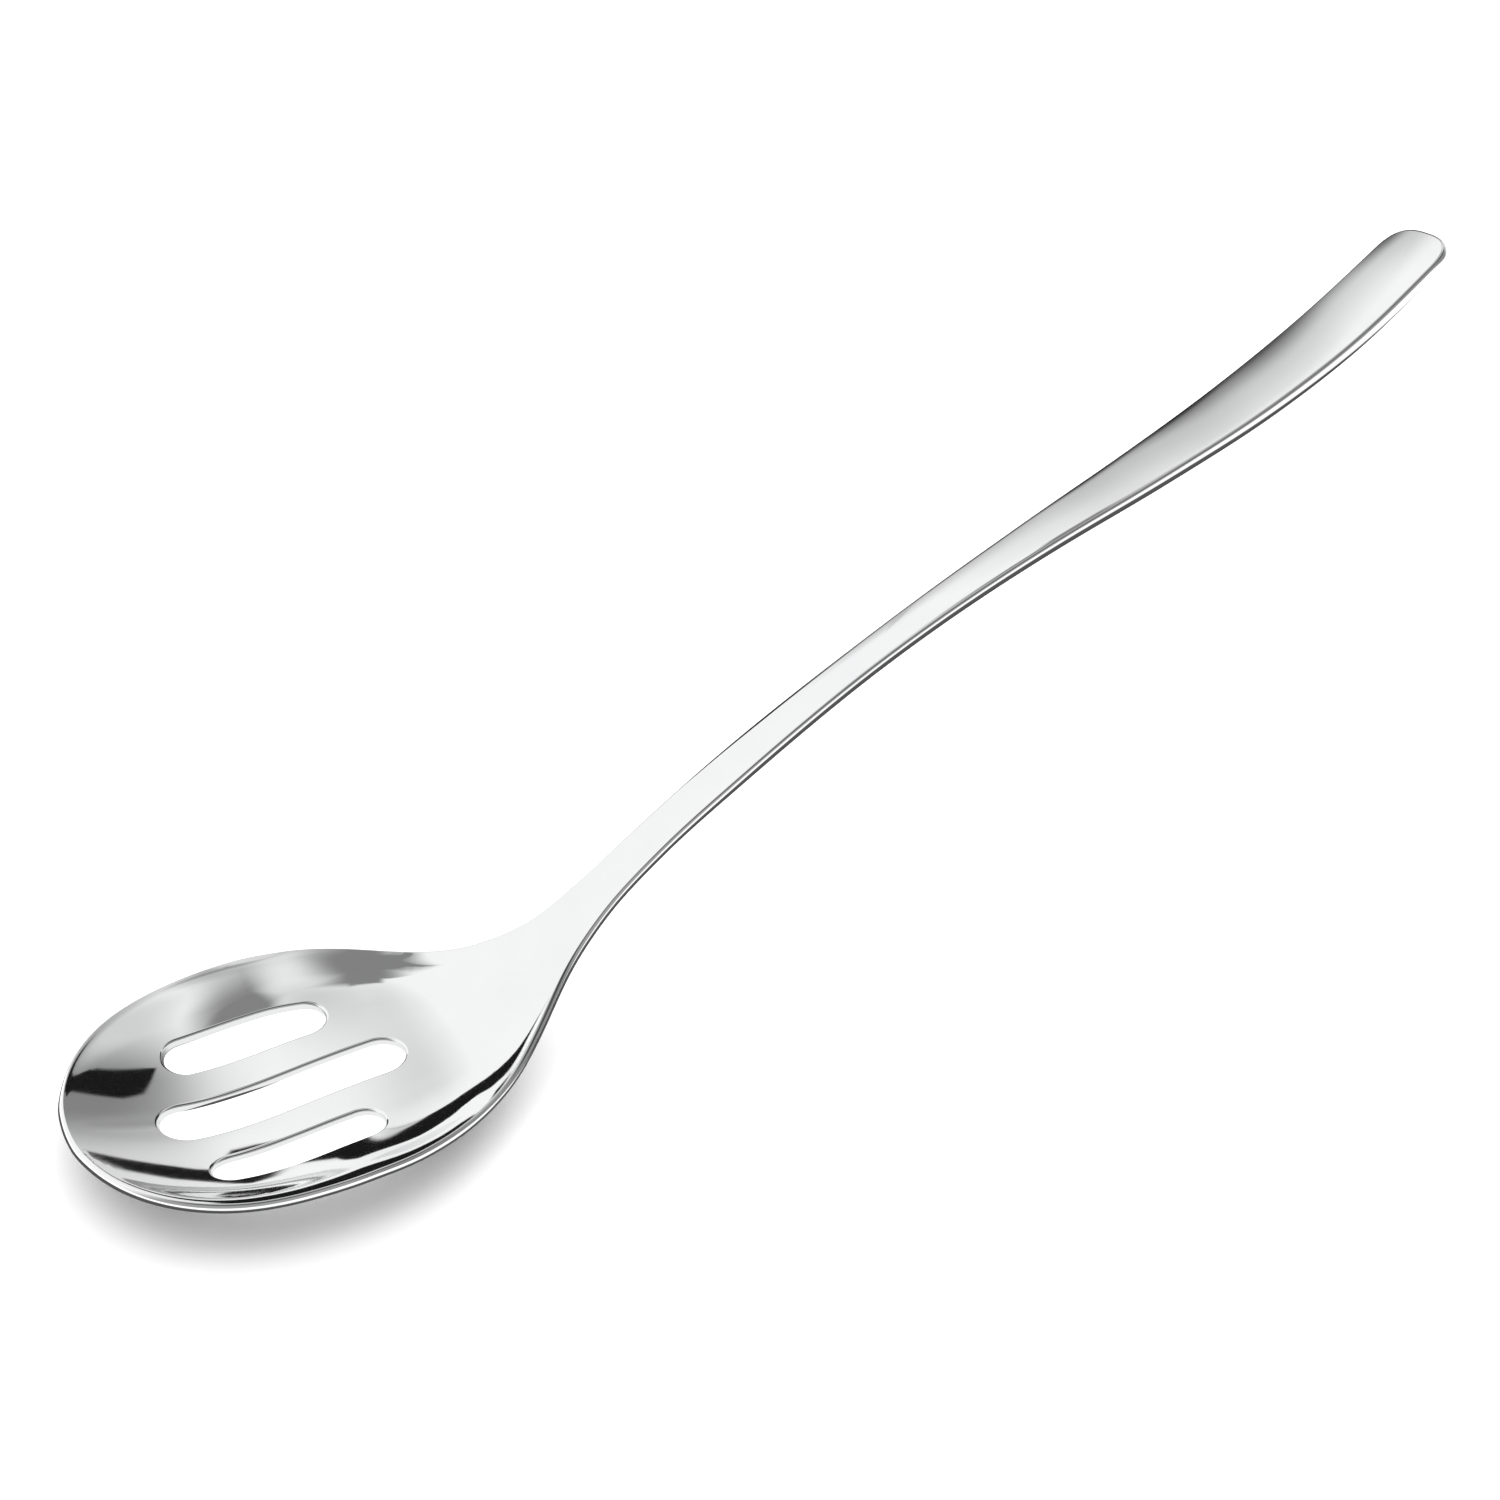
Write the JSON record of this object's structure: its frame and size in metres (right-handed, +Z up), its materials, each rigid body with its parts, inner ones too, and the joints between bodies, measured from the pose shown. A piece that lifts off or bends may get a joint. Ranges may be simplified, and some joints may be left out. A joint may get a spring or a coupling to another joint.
{
  "type": "slotted serving spoon",
  "caption": "Polished stainless serving spoon with a shallow oval bowl that drains through long slots, and a slim handle that rises and flares to a rounded end.",
  "frame": {"origin": "on the table, midway along the overall length, under the lowest point of the bowl's underside", "axes": "+X from the bowl's tip towards the handle's end, +Y to the left across the bowl, +Z up, with the bowl's rim level"},
  "size_m": [0.2362, 0.0578, 0.1029],
  "materials": {
    "steel": "mirror-polished stainless steel"
  },
  "bodies": {
    "root": {"spoon": "steel"}
  },
  "joints": []
}
